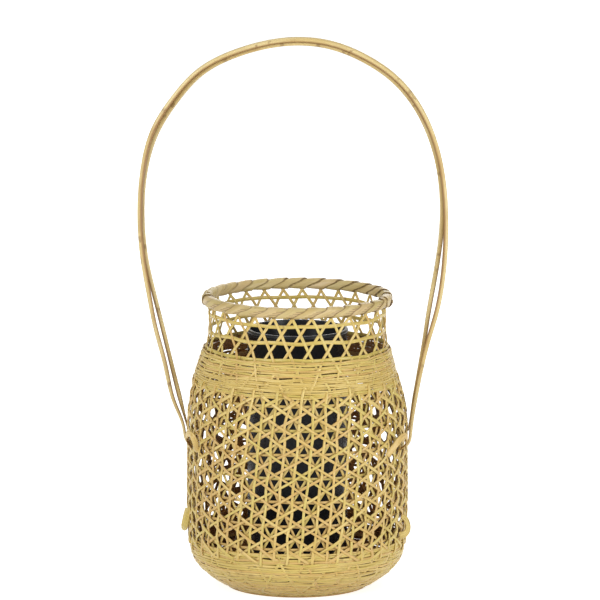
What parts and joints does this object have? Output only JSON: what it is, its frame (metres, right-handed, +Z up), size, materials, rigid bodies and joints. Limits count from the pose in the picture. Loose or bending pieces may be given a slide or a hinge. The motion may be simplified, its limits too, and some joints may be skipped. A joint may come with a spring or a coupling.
{
  "type": "bamboo flower basket",
  "caption": "Woven bamboo flower basket with a tall arched handle, a wrapped rim and a plain black water tube that lifts out.",
  "frame": {"origin": "centre of the foot ring, on the surface that the basket stands on", "axes": "+Z up along the basket's axis and the tube's lift, X across the handle's arch, front faces -Y"},
  "size_m": [0.2181, 0.1538, 0.3882],
  "materials": {
    "weave_strip": "split bamboo, satin skin",
    "rim_strip": "split bamboo, pale and matt",
    "handle_strip": "bent bamboo, satin skin",
    "tube_black": "smooth black"
  },
  "bodies": {
    "basket": {"base_course_01": "weave_strip", "base_course_02": "weave_strip", "base_course_03": "weave_strip", "base_course_04": "weave_strip", "base_course_05": "weave_strip", "base_course_06": "weave_strip", "base_course_07": "weave_strip", "base_course_08": "weave_strip", "base_course_09": "weave_strip", "base_course_10": "weave_strip", "base_course_11": "weave_strip", "base_course_12": "weave_strip", "base_course_13": "weave_strip", "base_course_14": "weave_strip", "base_hoop_1": "weave_strip", "base_hoop_2": "weave_strip", "body_hoop_1": "weave_strip", "body_hoop_2": "weave_strip", "body_hoop_3": "weave_strip", "body_hoop_4": "weave_strip", "body_hoop_5": "weave_strip", "body_hoop_6": "weave_strip", "body_hoop_7": "weave_strip", "falling_diagonals": "weave_strip", "falling_insert_strips": "weave_strip", "floor_strips_1": "weave_strip", "floor_strips_2": "weave_strip", "floor_strips_3": "weave_strip", "foot_ring": "weave_strip", "handle_inner_strand": "handle_strip", "handle_outer_strand": "handle_strip", "lower_left_lug": "weave_strip", "lower_right_lug": "weave_strip", "neck_hoop_1": "weave_strip", "neck_hoop_2": "weave_strip", "neck_hoop_3": "weave_strip", "rim_filler": "rim_strip", "rim_inner_hoop": "rim_strip", "rim_outer_hoop": "rim_strip", "rim_wrap": "rim_strip", "rising_diagonals": "weave_strip", "rising_insert_strips": "weave_strip", "shoulder_course_1": "weave_strip", "shoulder_course_2": "weave_strip", "shoulder_course_3": "weave_strip", "shoulder_course_4": "weave_strip", "shoulder_course_5": "weave_strip", "shoulder_course_6": "weave_strip", "shoulder_course_7": "weave_strip", "shoulder_course_8": "weave_strip", "shoulder_course_9": "weave_strip", "shoulder_hoop": "weave_strip", "upper_left_lug": "weave_strip", "upper_right_lug": "weave_strip", "upright_strips": "weave_strip"},
    "tube": {"water_tube": "tube_black"}
  },
  "joints": [
    {"name": "tube_lift", "type": "slide", "parent": "basket", "child": "tube", "axis": [0, 0, 1], "range_m": [0, 0.185]}
  ]
}
